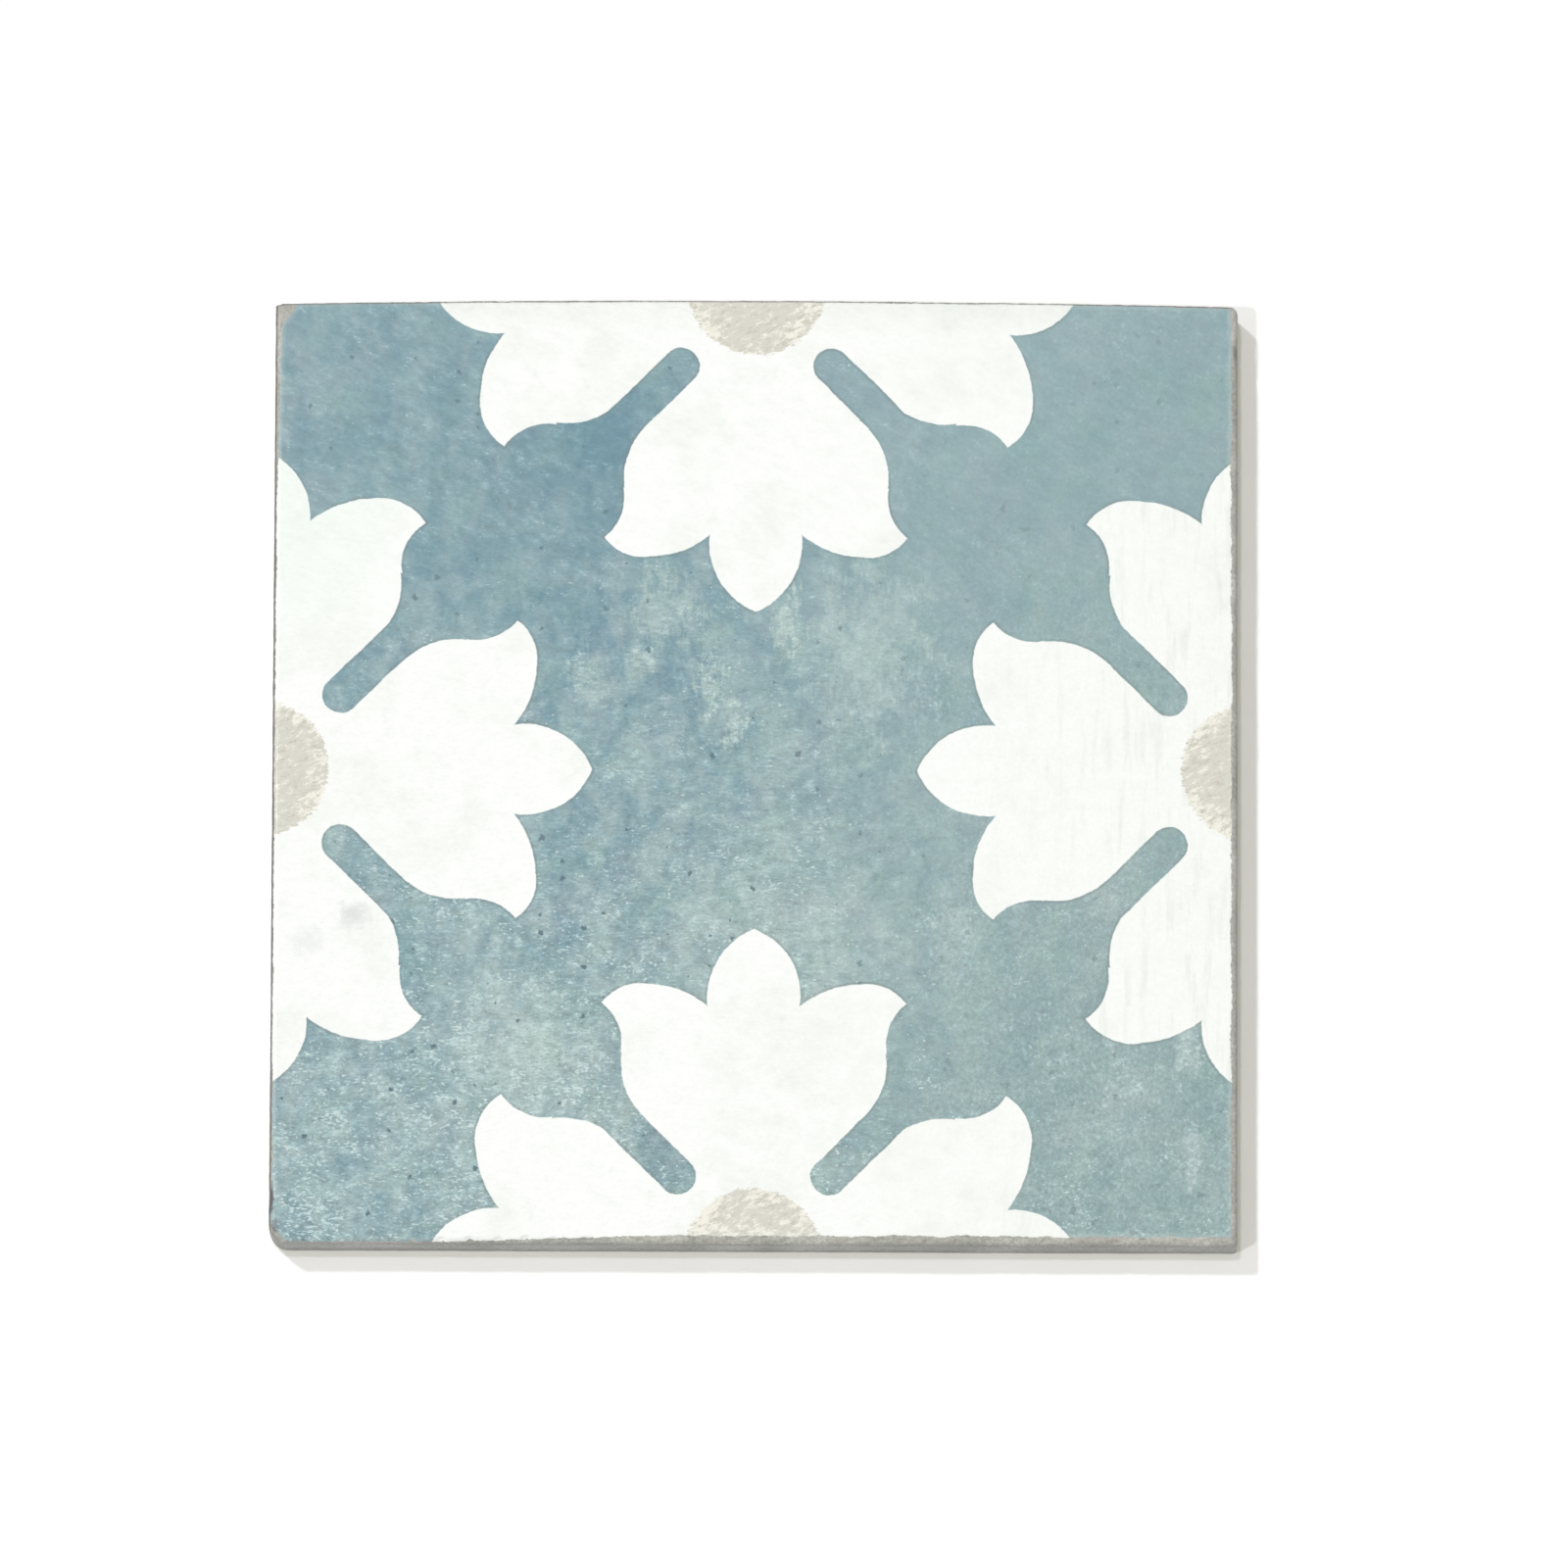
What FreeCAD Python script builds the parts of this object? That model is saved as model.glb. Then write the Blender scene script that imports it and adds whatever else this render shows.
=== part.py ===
import FreeCAD, Part
import Sketcher
import os

# Pressed porcelain wall tile, 200 mm square, lying on its back.
# Origin at the middle of the back plane, +Z out of the printed face,
# -Y towards the front side, whose left-hand corner is worn round.
# Lengths are in millimetres, angles in degrees.
SIZES = (
    ("TileLength", 200.0),
    ("TileWidth", 200.0),
    ("Thickness", 10.0),
    # how far the far side swells out past the line between its corners
    ("BackSwell", 1.0),
    # corners seen from above, one of them worn
    ("CornerRadius", 1.0),
    ("WornCornerRadius", 4.2),
    # rounded edge between face and sides, sloping foot of the sides
    ("ArrisRadius", 1.4),
    ("FootHeight", 3.2),
    ("FootInset", 0.2),
    # keyed back: drafted square recesses between a grid of ribs
    ("BackMargin", 9.0),
    ("RecessPitch", 18.2),
    ("RibWidth", 3.6),
    ("RecessDepth", 0.8),
    ("RecessDraft", 35.0),
    # flakes broken off the face at the two left-hand corners
    ("FrontFlakeRadius", 7.0),
    ("FrontFlakeDepth", 0.8),
    ("BackFlakeRadius", 9.0),
    ("BackFlakeDepth", 0.5),
)

NODE = "porcelain_tile"
# how a sketch names the two ends of a line and its own origin
START, END = (1, 2)
ORIGIN = (-1, START)


def make_sheet(doc):
    """Put the driving sizes into the spreadsheet, one row each."""
    sheet = doc.addObject("Spreadsheet::Sheet", "Sizes")
    for row, (alias, value) in enumerate(SIZES, 1):
        sheet.set(f"A{row}", alias)
        sheet.set(f"B{row}", str(value))
        sheet.setAlias(f"B{row}", alias)
    doc.recompute()
    return sheet


def bind_all(feature, sizes):
    """Let a feature's properties follow expressions of the sheet's sizes."""
    for name, expression in sizes.items():
        feature.setExpression(name, expression)
    feature.Document.recompute()
    return feature


def origin_feature(body, role):
    """Return one of the body's own origin planes or axes."""
    for feature in body.Origin.OriginFeatures:
        if feature.Role == role:
            return feature
    raise ValueError(f"{body.Label} has no {role}")


def outline_sketch(body, sheet):
    """Draw three straight sides and the gently swelling far side."""
    sketch = body.newObject("Sketcher::SketchObject", "Outline")
    sketch.AttachmentSupport = (origin_feature(body, "XY_Plane"), [""])
    sketch.MapMode = "FlatFace"
    right = sheet.TileLength / 2
    back = sheet.TileWidth / 2
    corners = (
        FreeCAD.Vector(-right, -back, 0),
        FreeCAD.Vector(right, -back, 0),
        FreeCAD.Vector(right, back - sheet.BackSwell, 0),
        FreeCAD.Vector(-right, back - sheet.BackSwell, 0),
    )
    front_side, right_side, back_side, left_side = range(4)
    sketch.addGeometry(Part.LineSegment(corners[0], corners[1]), False)
    sketch.addGeometry(Part.LineSegment(corners[1], corners[2]), False)
    sketch.addGeometry(Part.Arc(corners[2], FreeCAD.Vector(0, back, 0), corners[3]), False)
    sketch.addGeometry(Part.LineSegment(corners[3], corners[0]), False)
    for side in range(4):
        following = (side + 1) % 4
        sketch.addConstraint(Sketcher.Constraint("Coincident", side, END, following, START))
    sketch.addConstraint(Sketcher.Constraint("Horizontal", front_side))
    sketch.addConstraint(Sketcher.Constraint("Vertical", right_side))
    sketch.addConstraint(Sketcher.Constraint("Vertical", left_side))

    def measure(constraint, expression):
        index = sketch.addConstraint(constraint)
        sketch.setExpression(f"Constraints[{index}]", expression)

    length, width, swell = "Sizes.TileLength", "Sizes.TileWidth", "Sizes.BackSwell"
    measure(Sketcher.Constraint("DistanceX", *ORIGIN, front_side, END, right), f"{length} / 2")
    measure(Sketcher.Constraint("DistanceX", front_side, START, *ORIGIN, right), f"{length} / 2")
    measure(Sketcher.Constraint("DistanceY", front_side, START, *ORIGIN, back), f"{width} / 2")
    for end in (START, END):
        measure(Sketcher.Constraint("DistanceY", *ORIGIN, back_side, end, corners[2].y),
                f"{width} / 2 - {swell}")
    measure(Sketcher.Constraint("Radius", back_side, sketch.Geometry[back_side].Radius),
            f"{length} * {length} / (8 * {swell}) + {swell} / 2")
    return sketch


def edge_names(shape, wanted):
    """Name the edges of a shape that pass the given test."""
    return [f"Edge{number}" for number, edge in enumerate(shape.Edges, 1) if wanted(edge)]


def is_upright(edge):
    """Tell whether an edge runs straight up between the back and the face."""
    return edge.BoundBox.ZLength > 0.9 * edge.Length


def is_worn(edge):
    """Tell whether an edge is at the front left, where the corner is worn."""
    return edge.CenterOfMass.x < 0 and edge.CenterOfMass.y < 0


def is_at(height, edge):
    """Tell whether an edge lies flat at one height."""
    middle = edge.CenterOfMass.z
    return edge.BoundBox.ZLength < 0.01 * edge.Length and abs(middle - height) < 0.001


def round_edges(body, name, wanted, size):
    """Round the edges that pass a test to a radius from the sheet."""
    base = body.Tip
    fillet = body.newObject("PartDesign::Fillet", name)
    fillet.Base = (base, edge_names(base.Shape, wanted))
    return bind_all(fillet, {"Radius": f"Sizes.{size}"})


def pressed_blank(body, sheet):
    """Make the blank: outline, rounded corners, sloping foot and arris."""
    pad = body.newObject("PartDesign::Pad", "Blank")
    pad.Profile = outline_sketch(body, sheet)
    bind_all(pad, {"Length": "Sizes.Thickness"})
    round_edges(body, "SoundCorners",
                lambda edge: is_upright(edge) and not is_worn(edge), "CornerRadius")
    round_edges(body, "WornCorner",
                lambda edge: is_upright(edge) and is_worn(edge), "WornCornerRadius")
    base = body.Tip
    foot = body.newObject("PartDesign::Chamfer", "Foot")
    foot.Base = (base, edge_names(base.Shape, lambda edge: is_at(0, edge)))
    foot.ChamferType = "Two distances"
    bind_all(foot, {"Size": "Sizes.FootHeight", "Size2": "Sizes.FootInset"})
    round_edges(body, "Arris", lambda edge: is_at(sheet.Thickness, edge), "ArrisRadius")


def broken_flake(body, name, across, along, corner_radius):
    """Break a shallow round flake off the arris where two sides meet."""
    set_back = "(1 - 1 / sqrt(2))"
    reach = f"(Sizes.{name}Radius - Sizes.{name}Depth)"
    inward = (f"(Sizes.{corner_radius} * {set_back} + Sizes.ArrisRadius * {set_back} / sqrt(2)"
              f" - {reach} / 2)")
    ball = body.newObject("PartDesign::SubtractiveSphere", name)
    return bind_all(ball, {
        "Radius": f"Sizes.{name}Radius",
        "Placement.Base.x": f"{across} + {inward}",
        "Placement.Base.y": along.replace("INWARD", inward),
        "Placement.Base.z":
            f"Sizes.Thickness - Sizes.ArrisRadius * {set_back} + {reach} / sqrt(2)",
    })


def count_of(along):
    """Say how many recesses fit between the margins along one size."""
    return (f"floor((Sizes.{along} - 2 * Sizes.BackMargin + Sizes.RibWidth)"
            " / Sizes.RecessPitch)")


def grid_start(along):
    """Say where the first recess starts, so that the grid sits in the middle."""
    return f"-({count_of(along)} * Sizes.RecessPitch - Sizes.RibWidth) / 2"


def recess(body):
    """Press the first recess, a drafted square, at the left front of the grid."""
    mouth = "(Sizes.RecessPitch - Sizes.RibWidth)"
    draft = "Sizes.RecessDepth * tan(Sizes.RecessDraft)"
    wedge = body.newObject("PartDesign::SubtractiveWedge", "Recess")
    # the wedge grows along its own Y, which is turned to point into the tile
    wedge.Placement.Rotation = FreeCAD.Rotation(FreeCAD.Vector(1, 0, 0), 90)
    sizes = {"Ymin": "0 mm", "Ymax": "Sizes.RecessDepth"}
    for axis in ("X", "Z"):
        sizes.update({f"{axis}min": "0 mm", f"{axis}max": mouth,
                      f"{axis}2min": draft, f"{axis}2max": f"{mouth} - {draft}"})
    sizes["Placement.Base.x"] = grid_start("TileLength")
    sizes["Placement.Base.y"] = f"{grid_start('TileWidth')} + {mouth}"
    return bind_all(wedge, sizes)


def keyed_back(body):
    """Repeat the recess over the back that keys the tile into its bed."""
    first = recess(body)
    grid = body.newObject("PartDesign::MultiTransform", "KeyedBack")
    grid.Originals = [first]
    grid.Refine = False
    rows = []
    for name, role, along in (("Columns", "X_Axis", "TileLength"),
                              ("Rows", "Y_Axis", "TileWidth")):
        row = body.Document.addObject("PartDesign::LinearPattern", name)
        row.Direction = (origin_feature(body, role), [""])
        row.Mode = "Spacing"
        row.setExpression("Offset", "Sizes.RecessPitch")
        row.setExpression("Occurrences", count_of(along))
        rows.append(row)
    grid.Transformations = rows
    body.Tip = grid
    body.Document.recompute()


def check(doc):
    """Stop if anything in the document is failed or has no sound shape."""
    for item in doc.Objects:
        if "Invalid" in item.State or "Error" in item.State:
            raise RuntimeError(f"{item.Label} failed: {item.State}")
        if item.isDerivedFrom("PartDesign::Body"):
            if item.Shape.isNull() or not item.Shape.isValid() or len(item.Shape.Solids) != 1:
                raise RuntimeError(f"{item.Label} has no sound shape")


def main():
    doc = FreeCAD.newDocument("WallTile")
    sheet = make_sheet(doc)
    body = doc.addObject("PartDesign::Body", "Tile")
    body.Label = NODE
    pressed_blank(body, sheet)
    left = "-Sizes.TileLength / 2"
    broken_flake(body, "FrontFlake", left, "-Sizes.TileWidth / 2 + INWARD", "WornCornerRadius")
    broken_flake(body, "BackFlake", left, "Sizes.TileWidth / 2 - Sizes.BackSwell - INWARD",
                 "CornerRadius")
    keyed_back(body)
    check(doc)
    os.makedirs("parts", exist_ok=True)
    body.Shape.exportStep(os.path.join("parts", body.Label + ".step"))


main()
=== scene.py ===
import math

import bmesh
import bpy
from mathutils import Matrix, Vector, noise


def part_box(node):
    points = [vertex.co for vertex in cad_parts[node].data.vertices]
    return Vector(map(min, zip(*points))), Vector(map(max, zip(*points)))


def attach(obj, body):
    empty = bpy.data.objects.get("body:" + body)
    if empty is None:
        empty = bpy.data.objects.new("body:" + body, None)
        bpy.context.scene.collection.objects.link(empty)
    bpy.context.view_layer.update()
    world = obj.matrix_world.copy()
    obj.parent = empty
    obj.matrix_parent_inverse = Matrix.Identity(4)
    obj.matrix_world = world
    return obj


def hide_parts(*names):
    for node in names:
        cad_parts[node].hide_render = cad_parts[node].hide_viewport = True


# Square porcelain wall tile, lying on its back with the printed face up.
# Lengths are in millimetres here and become metres when a mesh or lamp is made.
MM = 0.001
TILE = "porcelain_tile"

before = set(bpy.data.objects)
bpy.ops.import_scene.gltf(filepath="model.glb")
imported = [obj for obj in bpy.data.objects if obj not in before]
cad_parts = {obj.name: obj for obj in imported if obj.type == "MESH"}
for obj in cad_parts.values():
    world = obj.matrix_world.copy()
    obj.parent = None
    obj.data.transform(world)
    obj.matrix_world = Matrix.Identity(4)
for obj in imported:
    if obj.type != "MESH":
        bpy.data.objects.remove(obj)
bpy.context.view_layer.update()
tile_low, tile_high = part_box(TILE)

# Sizes of the pressed blank, read from the frame where it has them
LENGTH = (tile_high.x - tile_low.x) / MM
WIDTH = (tile_high.y - tile_low.y) / MM
THICKNESS = (tile_high.z - tile_low.z) / MM
HALF = LENGTH / 2
FRONT = -WIDTH / 2
BACK_SWELL = 1.0
BACK = WIDTH / 2 - BACK_SWELL
# corners seen from above: the front left one is worn, the far right one rubbed
WORN_CORNER_RADIUS = 4.2
CORNER_RADIUS = 1.0
RUBBED_CORNER_RADIUS = 1.8
# the least radius at which a row further in turns its corner
SHARPEST_BEND = 0.3
ARRIS_RADIUS = 1.4
FOOT_HEIGHT = 3.2
FOOT_INSET = 0.2
FOOT_ROUNDING = 0.3

# Keyed back
RECESSES_ACROSS = 10
RECESS_PITCH = 18.2
RIB_WIDTH = 3.6
RECESS_DEPTH = 0.8
RECESS_DRAFT = math.radians(35)
# how far the edges of a recess are rounded
SOFTNESS = 0.2

# Ornament: four half flowers whose centres lie just outside the sides
FLOWER_CENTRE = 101.3
DISC_RADIUS = 14.4
# arcs of a petal: middle lengthwise and crosswise from the flower's centre, radius,
# and how much larger the petals are that lie along the side of the tile
SHOULDER_ARC = ((36.0, 22.3), 20.1, 1.1)
HOOK_ARC = ((46.2, 23.3), 10.0, 1.2)
TIP_ARC = ((53.5, -5.8), 15.4, -0.7)
WAIST_ARC = ((39.5, 11.4), 16.0, 0.5)
HOLLOW_ARC = ((43.3, 38.6), 11.3, -0.7)
# straight limits of the petal's parts, lengthwise and crosswise
PETAL_FOOT = 51.0
SHOULDER_WIDTH = 22.5
WAIST_START, WAIST_END, WAIST_WIDTH = 27.0, 41.5, 12.0
# slots between the petals, along the diagonal
SLOT_START = 22.06
SLOT_HALF_WIDTH = 3.85
# how far the edges of the print are blurred
PRINT_BLUR = 0.12
# dark line round the petals: how far outside their edge, where it ends and is full
RIM_OFFSET = -0.25
RIM_END, RIM_FULL = 0.45, 0.1


def colour(red, green, blue):
    """Turn the 0 to 255 values of a paint swatch into a shader colour."""
    def light(value):
        share = value / 255
        if share <= 0.04045:
            return share / 12.92
        return ((share + 0.055) / 1.055) ** 2.4
    return light(red), light(green), light(blue), 1.0


# Colours of the glaze, the print and the bare body, and of painted shade, shadow, glints and sheen
DEEP_BLUE = colour(107, 143, 156)
PALE_BLUE = colour(166, 188, 187)
MILKY_GREEN = colour(188, 207, 199)
MILKY_BLUE = colour(194, 209, 207)
SPECK_BLUE = colour(78, 102, 112)
RIM_SHADE = colour(112, 124, 120)
# painted glints on the blue
PAINTED_GLINT = colour(206, 225, 223)
WHITE_GLAZE = colour(252, 253, 250)
WHITE_SHADE = colour(232, 237, 229)
WHITE_GREEN = colour(238, 248, 239)
SMUDGE_GREY = colour(214, 218, 214)
DISC_GREY = colour(215, 213, 201)
# painted sheen on the discs
DISC_PAINTED_SHEEN = colour(245, 242, 229)
DISC_SHADE = colour(192, 188, 172)
BODY_GREY = colour(166, 166, 158)
BODY_PALE = colour(190, 190, 181)
BODY_DARK = colour(126, 125, 118)
BODY_RUST = colour(170, 160, 147)
# painted shadow under the lip of the glaze, and dark lines painted on the side
DARK_LINE_AND_SHADOW = colour(93, 90, 84)
# painted shade along the left and far edges
PAINTED_EDGE_SHADE = colour(108, 104, 100)
SOOT = colour(92, 95, 102)
KILN_WASH = colour(222, 219, 210)
# tints that the blue is multiplied by
NO_CAST = (1.0, 1.0, 1.0, 1.0)
GREY_CAST = (1.035, 0.988, 1.0, 1.0)
SEA_CAST = (0.99, 1.008, 0.975, 1.0)
RIGHT_CAST = (1.0, 0.972, 0.93, 1.0)


# Shape of the tile

# the four sides, anticlockwise from the front: along the side, out of the side
SIDES = (
    (Vector((1, 0)), Vector((0, -1))),
    (Vector((0, 1)), Vector((1, 0))),
    (Vector((-1, 0)), Vector((0, 1))),
    (Vector((0, -1)), Vector((-1, 0))),
)
CORNERS = (
    (Vector((-HALF, FRONT)), WORN_CORNER_RADIUS),
    (Vector((HALF, FRONT)), CORNER_RADIUS),
    (Vector((HALF, BACK)), RUBBED_CORNER_RADIUS),
    (Vector((-HALF, BACK)), CORNER_RADIUS),
)
# stations round the tile at the edge, and after each halving further in
FINE, MIDDLE, COARSE = 1600, 800, 400
STATIONS_PER_TURN_STEP = 200
RECESS_TURN_STEPS = 5

# flakes and chips: middle of a ball in mm, and its half axes
CHIPS = (
    # the two broken left-hand corners
    ((-101.58, -101.58, 13.97), (7.0, 7.0, 7.0)),
    ((-103.37, 102.37, 15.60), (9.0, 9.0, 9.0)),
    # nicks in the far edge
    ((-37.0, 100.4, 10.0), (2.6, 0.9, 1.1)),
    ((53.0, 100.2, 10.1), (3.4, 0.9, 1.1)),
    ((-68.0, 99.9, 10.1), (2.0, 0.7, 1.0)),
    # nicks in the right-hand edge
    ((100.2, 88.6, 9.8), (1.2, 2.4, 1.6)),
    ((100.3, 34.6, 10.0), (1.2, 2.2, 1.2)),
    ((100.4, -41.0, 10.1), (1.1, 1.6, 1.1)),
    # nicks in the left-hand edge
    ((-100.3, 64.0, 10.0), (0.9, 2.4, 1.1)),
    ((-100.3, 49.0, 10.0), (0.9, 3.0, 1.2)),
    ((-100.2, -90.4, 9.7), (1.2, 3.6, 1.7)),
)
# where the row of small nicks along the front edge starts and stops
NICKS_START, NICKS_STOP = -70.0, 97.0


def front_nicks():
    """List the small nicks that run along the front edge, unevenly spaced."""
    nicks = []
    place = NICKS_START
    while place < NICKS_STOP:
        chance = noise.noise(Vector((place * 0.37, 5.0, 2.0)))
        depth = noise.noise(Vector((place * 0.61, 9.0, 4.0)))
        nicks.append(((place, -99.6, 10.3), (1.3 + 1.2 * abs(chance), 1.3 + 0.6 * depth, 0.9)))
        place += 3.6 + 2.6 * (1 + chance)
    return nicks


ALL_CHIPS = [*CHIPS, *front_nicks()]


def turned_corner(station, count, inset):
    """Give a place and the outward direction round the tile at one inset."""
    steps = count // len(SIDES)
    turn = count // STATIONS_PER_TURN_STEP
    side, step = divmod(station % count, steps)
    along, out = SIDES[side]

    def corner_point(number, towards, tilt):
        corner, radius = CORNERS[number % len(CORNERS)]
        reach = max(radius, inset + SHARPEST_BEND)
        bend = reach - inset
        middle = corner + along * towards * reach - out * reach
        direction = out * math.cos(tilt) + along * math.sin(tilt)
        return middle + direction * bend, direction

    if step < turn:
        return corner_point(side, 1, -math.radians(45) * (1 - step / turn))
    if step > steps - turn:
        return corner_point(side + 1, -1, math.radians(45) * (step - steps + turn) / turn)
    start, direction = corner_point(side, 1, 0.0)
    end, direction = corner_point(side + 1, -1, 0.0)
    return start.lerp(end, (step - turn) / (steps - 2 * turn)), direction


# how far the outline waves and ripples, and how far in the waves reach
EDGE_WAVE, EDGE_RIPPLE = 0.16, 0.07
WAVE_REACH = 8.0
# how uneven the face is, and how deep a lump of the bare arris
FACE_WAVE, FACE_RIPPLE = 0.05, 0.012
LUMP_DEPTH = 0.16


def swell(place):
    """Move a place in plan with the far side, which swells between its corners."""
    lift = BACK_SWELL * (1 - (place.x / HALF) ** 2) * max(0.0, place.y / BACK) ** 2
    return Vector((place.x, place.y + max(lift, 0.0)))


def wander(place, size, seed):
    """Give smooth noise from -1 to 1 whose waves are about one size long."""
    return noise.noise(Vector((place.x / size, place.y / size, seed)))


def edge_wave(place):
    """Say how far the outline runs inside the nominal one, in mm."""
    slow = 0.5 + 0.5 * wander(place, 38.0, 2.0)
    quick = 0.5 + 0.5 * wander(place, 5.0, 7.0)
    return EDGE_WAVE * slow + EDGE_RIPPLE * quick


def arris_at(place):
    """Give the radius of the worn arris at one place."""
    return ARRIS_RADIUS * (1 + 0.20 * wander(place, 16.0, 4.0) + 0.10 * wander(place, 3.5, 9.0))


# rows of the flat face beside the arris, and steps of the arris itself
FACE_ROWS = (1.6, 1.2, 0.9, 0.65, 0.4, 0.2)
ARRIS_STEPS = 9
# rows of the side, as shares of the way from the arris to the press line
SIDE_ROWS = (0.2, 0.45, 0.7, 0.9)
# a shallow line runs round where the two halves of the press met: inset and rise
PRESS_LINE = ((0.02, 0.18), (0.10, 0.0), (0.05, -0.20))
# rows of the sloping foot, as shares of the way down, and the first row of the back
FOOT_ROWS = (0.3, 0.6, 0.85)
BACK_ROW = 1.6
# how far in the coarser rings of the face and the back lie, and the grid of the face
FACE_RINGS = (4.2, 6.0)
FACE_BORDER = 7.6
BACK_RINGS = (3.0, 5.0)


def edge_rows():
    """List the rows from the face over the arris and the side to the back.

    A row is inset by a share of the local arris radius and a length, and lies
    a share of that radius below a height.
    """
    rows = [(1.0, grow, 0.0, THICKNESS) for grow in FACE_ROWS]
    for step in range(ARRIS_STEPS + 1):
        angle = math.radians(90) * step / ARRIS_STEPS
        rows.append((1 - math.sin(angle), 0.0, 1 - math.cos(angle), THICKNESS))
    for share in SIDE_ROWS:
        rows.append((0.0, 0.0, 1 - share, THICKNESS - share * (THICKNESS - FOOT_HEIGHT)))
    below = [(inset, FOOT_HEIGHT + rise) for inset, rise in PRESS_LINE]
    below += [(FOOT_INSET * share, FOOT_HEIGHT * (1 - share)) for share in FOOT_ROWS]
    below.append((FOOT_INSET + 0.3 * FOOT_ROUNDING, 0.3 * FOOT_ROUNDING))
    below.append((FOOT_INSET + FOOT_ROUNDING, 0.0))
    below.append((BACK_ROW, 0.0))
    return rows + [(0.0, inset, 0.0, height) for inset, height in below]


def face_dip(place):
    """Give the gentle unevenness of the fired face, below its nominal height."""
    slow = 0.5 + 0.5 * wander(place, 42.0, 12.0)
    quick = 0.5 + 0.5 * wander(place, 9.0, 15.0)
    return FACE_WAVE * slow + FACE_RIPPLE * quick


def broken(point):
    """Push a point of the surface back to the hollow that a chip left."""
    for middle, axes in ALL_CHIPS:
        if abs(point.x - middle[0]) >= axes[0] or abs(point.y - middle[1]) >= axes[1]:
            continue
        offset = Vector([(point[i] - middle[i]) / axes[i] for i in range(3)])
        depth = offset.length
        if depth < 1.0:
            rough = 1.0 + 0.05 * noise.noise(point * 1.3)
            pushed = offset / max(depth, 0.001) * rough
            point = Vector([middle[i] + pushed[i] * axes[i] for i in range(3)])
    return point


def shell_point(station, row):
    """Place one vertex of the edge rows."""
    outline, out = turned_corner(station, FINE, 0.0)
    radius = arris_at(outline)
    inset_share, inset_length, drop_share, level = row
    inset = inset_share * radius + inset_length
    height = level - drop_share * radius
    waved = edge_wave(outline) * max(0.0, 1 - inset / WAVE_REACH)
    place = swell(turned_corner(station, FINE, inset)[0]) - out * waved
    on_face = height > THICKNESS - radius * 0.999
    if on_face:
        height -= face_dip(place)
    # the bare arris is lumpy, the side below it less so
    lean = min(1.0, (THICKNESS - height) / radius)
    lumps = 0.6 * wander(place, 1.9, 21.0 + height) + 0.4 * wander(place, 0.8, 33.0 + height)
    dent = LUMP_DEPTH * lean * (1 - 0.7 * (height < THICKNESS - radius)) * max(0.0, 0.3 + lumps)
    if height > FOOT_ROUNDING:
        place -= out * dent
        height -= dent * on_face
    return broken(Vector((*place, height)))


def flat_point(station, count, inset, height):
    """Place one vertex of a ring on the face or the back."""
    place = swell(turned_corner(station, count, inset)[0])
    if height > 0:
        height -= face_dip(place)
    return broken(Vector((*place, height)))


def add_vertices(mesh, points):
    """Add the vertices of a ring or a row."""
    return [mesh.verts.new(point * MM) for point in points]


def band(mesh, outer, inner, material, flip=False):
    """Join two rings of one count with quads, and give them a material."""
    count = len(outer)
    for i in range(count):
        corners = [outer[i], outer[(i + 1) % count], inner[(i + 1) % count], inner[i]]
        add_face(mesh, corners, material, flip)


def halving_band(mesh, outer, inner, material, flip):
    """Join a ring to one of half its count with triangles."""
    count = len(outer)
    for i in range(0, count, 2):
        here, there = inner[i // 2], inner[(i // 2 + 1) % len(inner)]
        near, middle, far = outer[i], outer[i + 1], outer[(i + 2) % count]
        add_face(mesh, [near, middle, here], material, flip)
        add_face(mesh, [middle, there, here], material, flip)
        add_face(mesh, [middle, far, there], material, flip)


def add_face(mesh, corners, material, flip=False):
    """Add one face with its material, turned over if it looks down."""
    if flip:
        corners = corners[::-1]
    face = mesh.faces.new(corners)
    face.material_index = material
    face.smooth = True
    return face


GLAZED, BARE = range(2)


def build_edge(mesh):
    """Build the rows round the edge; return the first and the last ring."""
    rings = []
    for row in edge_rows():
        rings.append(add_vertices(mesh, [shell_point(i, row) for i in range(FINE)]))
    glazed_rows = len(FACE_ROWS) + ARRIS_STEPS
    for number, (inner, outer) in enumerate(zip(rings, rings[1:])):
        band(mesh, outer, inner, GLAZED if number < glazed_rows else BARE)
    return rings[0], rings[-1]


def coarser_rings(mesh, rim, insets, height, material, flip=False):
    """Lead from the edge rows to a ring with a quarter of their stations."""
    for count, inset in zip((MIDDLE, COARSE), insets):
        points = [flat_point(i, count, inset, height) for i in range(count)]
        inner = add_vertices(mesh, points)
        halving_band(mesh, rim, inner, material, flip)
        rim = inner
    return rim


def build_face(mesh, rim):
    """Close the face inside the edge rows with coarser rings and a grid."""
    coarse = coarser_rings(mesh, rim, FACE_RINGS, THICKNESS, GLAZED)
    side = COARSE // 4
    first = Vector((-HALF + FACE_BORDER, FRONT + FACE_BORDER))
    step = Vector((LENGTH - 2 * FACE_BORDER, WIDTH - BACK_SWELL - 2 * FACE_BORDER)) / side
    grid = []
    for j in range(side + 1):
        places = [swell(Vector((first.x + step.x * i, first.y + step.y * j)))
                  for i in range(side + 1)]
        points = [Vector((*place, THICKNESS - face_dip(place))) for place in places]
        grid.append(add_vertices(mesh, points))
    outline = [grid[0][i] for i in range(side)]
    outline += [grid[j][side] for j in range(side)]
    outline += [grid[side][side - i] for i in range(side)]
    outline += [grid[side - j][0] for j in range(side)]
    band(mesh, coarse, outline, GLAZED)
    for j in range(side):
        for i in range(side):
            corners = [grid[j][i], grid[j][i + 1], grid[j + 1][i + 1], grid[j + 1][i]]
            add_face(mesh, corners, GLAZED)


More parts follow.
